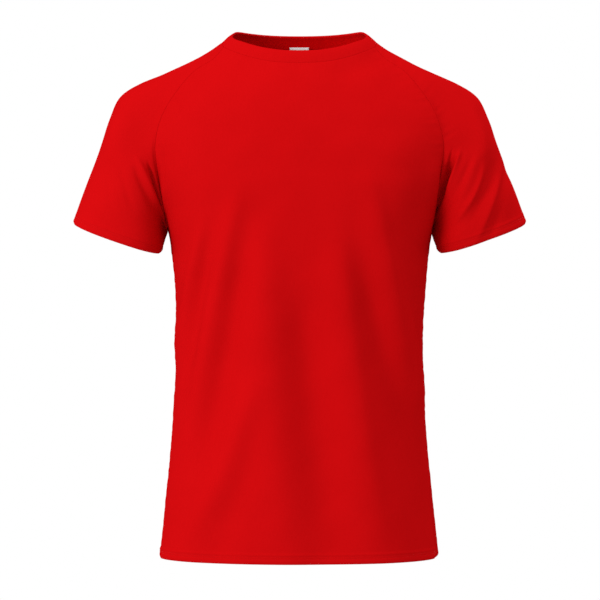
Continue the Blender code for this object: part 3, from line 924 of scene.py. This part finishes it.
class Signal:
    # a socket that takes part in sums, with numbers or other sockets on either side
    def __init__(self, tree, socket=None):
        self.tree = tree
        self.socket = socket

    def node(self, kind, settings, inputs, output=0):
        made = self.tree.nodes.new(kind)
        for name, value in settings.items():
            setattr(made, name, value)
        for name, value in inputs.items():
            if isinstance(value, Signal):
                self.tree.links.new(value.socket, made.inputs[name])
            else:
                made.inputs[name].default_value = value
        return Signal(self.tree, made.outputs[output])

    def math(self, operation, *values):
        return self.node("ShaderNodeMath", {"operation": operation}, dict(enumerate(values)))

    def __add__(self, other):
        return self.math("ADD", self, other)

    def __sub__(self, other):
        return self.math("SUBTRACT", self, other)

    def __mul__(self, other):
        return self.math("MULTIPLY", self, other)

    __radd__ = __add__
    __rmul__ = __mul__

    def sine(self):
        return self.math("SINE", self)

    def mixColours(self, first, second):
        return self.node(
            "ShaderNodeMix", {"data_type": "RGBA"}, {0: self, 6: first, 7: second}, output=2
        )


jersey = {
    "colour": (0.560, 0.0034, 0.0046, 1.0),
    "shadeColour": (0.500, 0.0027, 0.0036, 1.0),
    "roughness": 0.62,
    "specular": 0.0,
    "waleWidth": 0.0011,
    "courseHeight": 0.0009,
    "knitDepth": 0.00006,
    "bumpStrength": 0.5,
    "loopLean": 1.2,
    "waleShare": 0.6,
    "courseShare": 0.4,
    "streakScale": (900.0, 70.0, 1.0),
    "streakShare": 0.7,
    "patchScale": 18.0,
    "patchShare": 0.6,
    "shadeStart": 0.25,
    "roughnessSpread": 0.08,
}


def clothMaterial(name, finish):
    material = bpy.data.materials.new(name)
    material.use_nodes = True
    tree = material.node_tree
    shader = tree.nodes["Principled BSDF"]
    start = Signal(tree)
    uv = start.node("ShaderNodeUVMap", {"uv_map": "cloth"}, {})
    across = start.node("ShaderNodeSeparateXYZ", {}, {0: uv}, output=0)
    up = start.node("ShaderNodeSeparateXYZ", {}, {0: uv}, output=1)
    # each wale is a column of small loops, which lean left and right in turn
    wale = (across * (2 * np.pi / finish["waleWidth"])).sine()
    course = (up * (2 * np.pi / finish["courseHeight"]) + wale * finish["loopLean"]).sine()
    knit = wale * finish["waleShare"] + course * finish["courseShare"]
    stretched = start.node("ShaderNodeMapping", {}, {"Vector": uv, "Scale": finish["streakScale"]})
    streaks = start.node("ShaderNodeTexNoise", {}, {"Vector": stretched, "Scale": 1.0, "Detail": 2.0})
    patches = start.node(
        "ShaderNodeTexNoise", {}, {"Vector": uv, "Scale": finish["patchScale"], "Detail": 1.0}
    )
    shade = streaks * finish["streakShare"] + patches * finish["patchShare"] - finish["shadeStart"]
    colour = shade.mixColours(finish["shadeColour"], finish["colour"])
    tree.links.new(colour.socket, shader.inputs["Base Color"])
    bump = start.node(
        "ShaderNodeBump",
        {},
        {"Height": knit, "Distance": finish["knitDepth"], "Strength": finish["bumpStrength"]},
    )
    tree.links.new(bump.socket, shader.inputs["Normal"])
    smoothest = finish["roughness"] - finish["roughnessSpread"] / 2
    roughness = streaks * finish["roughnessSpread"] + smoothest
    tree.links.new(roughness.socket, shader.inputs["Roughness"])
    shader.inputs["Specular IOR Level"].default_value = finish["specular"]
    material.diffuse_color = finish["colour"]
    return material


def plainMaterial(name, finish):
    material = bpy.data.materials.new(name)
    material.use_nodes = True
    shader = material.node_tree.nodes["Principled BSDF"]
    shader.inputs["Base Color"].default_value = finish["colour"]
    shader.inputs["Roughness"].default_value = finish["roughness"]
    shader.inputs["Specular IOR Level"].default_value = finish["specular"]
    return material


def setMaterial(piece, outside, inside=None):
    slots = piece.data.materials
    while len(slots) < (2 if inside else 1):
        slots.append(None)
    slots[0] = outside
    if len(slots) > 1:
        slots[1] = inside or outside


jerseyCloth = clothMaterial("jersey", jersey)
# the inside of the cloth is given a lighter, deeper red than the outside: painted light, standing in for
# the light that shines through the cloth and bounces about inside the shirt
innerJerseyPaintedLight = {
    **jersey,
    "colour": (0.71, 0.0022, 0.0030, 1.0),
    "shadeColour": (0.66, 0.0018, 0.0024, 1.0),
}
jerseyInsidePaintedLight = clothMaterial("jerseyInsidePaintedLight", innerJerseyPaintedLight)
rib = {"waleWidth": 0.0013, "knitDepth": 0.00009}
ribCloth = clothMaterial("neckRib", {**jersey, **rib})
# the inside of the neckband takes the same painted light
ribInsidePaintedLight = clothMaterial("neckRibInsidePaintedLight", {**innerJerseyPaintedLight, **rib})
labelCloth = clothMaterial(
    "labelWeave",
    {
        **jersey,
        "colour": (0.95, 0.95, 0.94, 1.0),
        "shadeColour": (0.93, 0.93, 0.92, 1.0),
        "roughness": 0.5,
        "waleWidth": 0.0004,
        "courseHeight": 0.0004,
        "knitDepth": 0.00001,
    },
)
thread = plainMaterial(
    "thread", {"colour": (0.53, 0.003, 0.004, 1.0), "roughness": 0.6, "specular": 0.05}
)

# the panels and sleeves get the painted-light colour on their inside faces
for piece in (front, back, *(made for made, _ in sleeves.values())):
    setMaterial(piece, jerseyCloth, jerseyInsidePaintedLight)
setMaterial(band, ribCloth, ribInsidePaintedLight)
setMaterial(neckLabel, labelCloth)
for piece in stitches:
    setMaterial(piece, thread)
print("the materials are set")


# The cut of what shows of each piece: its widest and longest in metres, and its area in square metres.

flatCuts = {
    "frontPanel": {"flat": (0.50, 0.715), "area": 0.304},
    "backPanel": {"flat": (0.48, 0.72), "area": 0.289},
    "leftSleeve": {"flat": (0.43, 0.333), "area": 0.0785},
    "rightSleeve": {"flat": (0.43, 0.333), "area": 0.0785},
    "neckBand": {"flat": (0.54, 0.0195), "area": 0.0105},
    "neckLabel": {"flat": (0.026, 0.023), "area": 0.00059},
}
sewnOn = {
    "frontPanel": [stitches[0]],
    "leftSleeve": [stitches[2]],
    "rightSleeve": [stitches[1]],
}
for name, size in flatCuts.items():
    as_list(sewnOn.get(name, []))


# The studio: a pale floor far below, as under a standing wearer, a soft key light and one from above.

studio = {
    "floorHeight": -1.45,
    "floorRadius": 6.0,
    "floorSides": 96,
    "floorPaint": {"colour": (0.45, 0.45, 0.45, 1.0), "roughness": 0.8, "specular": 0.5},
    "aim": (0, 0, -0.35),  # the lights point at the middle of the shirt
    "keyPlace": (-2.3, -2.25, 0.10),
    "keySize": 1.2,
    "keyPower": 50,
    "topPlace": (0.9, 0.1, 2.0),
    "topSize": 1.2,
    "topPower": 16.5,
    "worldShown": 1.0,
    "worldLight": 0.92,
    "cameraPlace": (0.0009, -4.5, -0.358),
    "cameraLens": 202.5,
    "cameraSensor": 36,
}


def addLight(name, place, size, power):
    bpy.ops.object.light_add(type="AREA", location=place)
    light = bpy.context.object
    light.name = name
    light.data.shape = "DISK"
    light.data.size = size
    light.data.energy = power
    aim = bpy.data.objects.new(name + "Aim", None)
    bpy.context.scene.collection.objects.link(aim)
    aim.location = studio["aim"]
    track = light.constraints.new("TRACK_TO")
    track.target = aim
    track.track_axis = "TRACK_NEGATIVE_Z"
    track.up_axis = "UP_Y"


def addStudio():
    bpy.ops.object.select_all(action="DESELECT")
    bpy.ops.mesh.primitive_circle_add(
        vertices=studio["floorSides"],
        radius=studio["floorRadius"],
        fill_type="NGON",
        location=(0, 0, studio["floorHeight"]),
    )
    floor = bpy.context.object
    floor.name = "floor"
    setMaterial(floor, plainMaterial("paleFloor", studio["floorPaint"]))
    addLight("key", studio["keyPlace"], studio["keySize"], studio["keyPower"])
    addLight("top", studio["topPlace"], studio["topSize"], studio["topPower"])
    world = bpy.data.worlds.new("studio")
    bpy.context.scene.world = world
    world.use_nodes = True
    tree = world.node_tree
    seen = Signal(tree).node("ShaderNodeLightPath", {}, {}, output="Is Camera Ray")
    strength = seen * (studio["worldShown"] - studio["worldLight"]) + studio["worldLight"]
    tree.links.new(strength.socket, tree.nodes["Background"].inputs["Strength"])
    tree.nodes["Background"].inputs["Color"].default_value = (1, 1, 1, 1)
    bpy.ops.object.camera_add(location=studio["cameraPlace"], rotation=(np.pi / 2, 0, 0))
    camera = bpy.context.object
    camera.data.lens = studio["cameraLens"]
    camera.data.sensor_width = studio["cameraSensor"]
    bpy.context.scene.camera = camera
    bpy.context.scene.view_settings.view_transform = "Standard"


addStudio()
print("the studio is set up")
